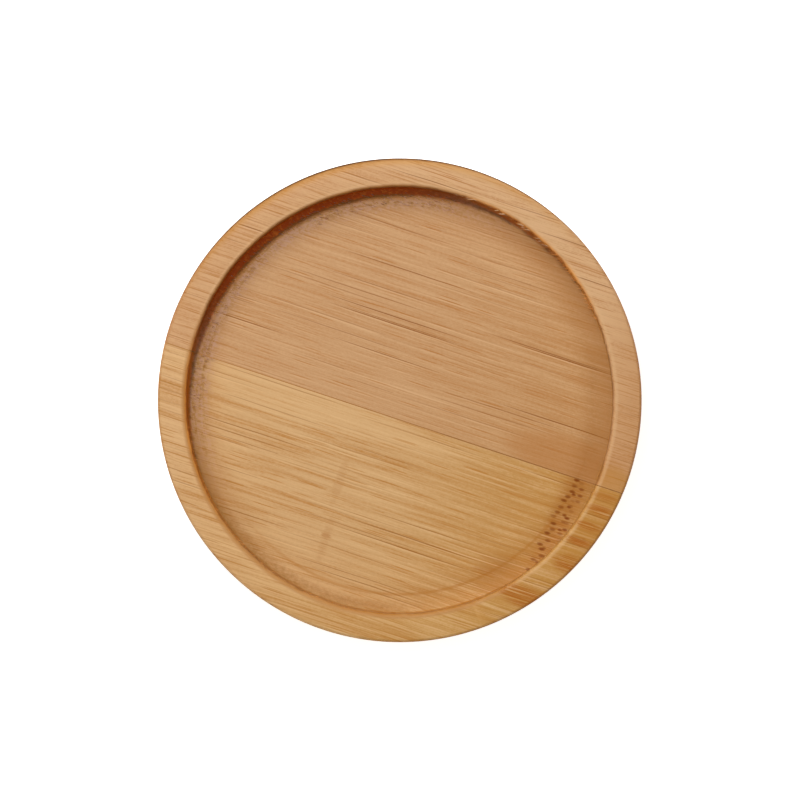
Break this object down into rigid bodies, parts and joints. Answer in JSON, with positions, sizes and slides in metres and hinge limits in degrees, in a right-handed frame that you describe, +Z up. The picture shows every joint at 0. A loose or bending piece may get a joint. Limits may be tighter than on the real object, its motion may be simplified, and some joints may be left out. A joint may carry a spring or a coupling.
{
  "type": "bamboo trivet",
  "caption": "Small round bamboo saucer-style trivet with a raised flat rim and a shallow flat-bottomed recess, cut from a glued two-ply board of bamboo strips.",
  "frame": {"origin": "centre of the underside, on the surface that the dish stands on", "axes": "+Z up out of the recess, +X along the bamboo fibres, +Y across the strips towards the wider face strip"},
  "size_m": [0.07, 0.07, 0.01],
  "materials": {
    "caramel_bamboo": "satin oiled carbonised bamboo, pinkish tan",
    "pale_bamboo": "satin oiled carbonised bamboo, yellowish tan, with a node",
    "backing_bamboo": "sanded carbonised bamboo",
    "glue": "cured amber wood glue"
  },
  "bodies": {
    "root": {"face_strip_1": "caramel_bamboo", "face_strip_2": "pale_bamboo", "face_edge_glue_1": "glue", "ply_glue": "glue", "backing_strip_1": "backing_bamboo", "backing_strip_2": "backing_bamboo", "backing_strip_3": "backing_bamboo", "backing_edge_glue_1": "glue", "backing_edge_glue_2": "glue"}
  },
  "joints": []
}
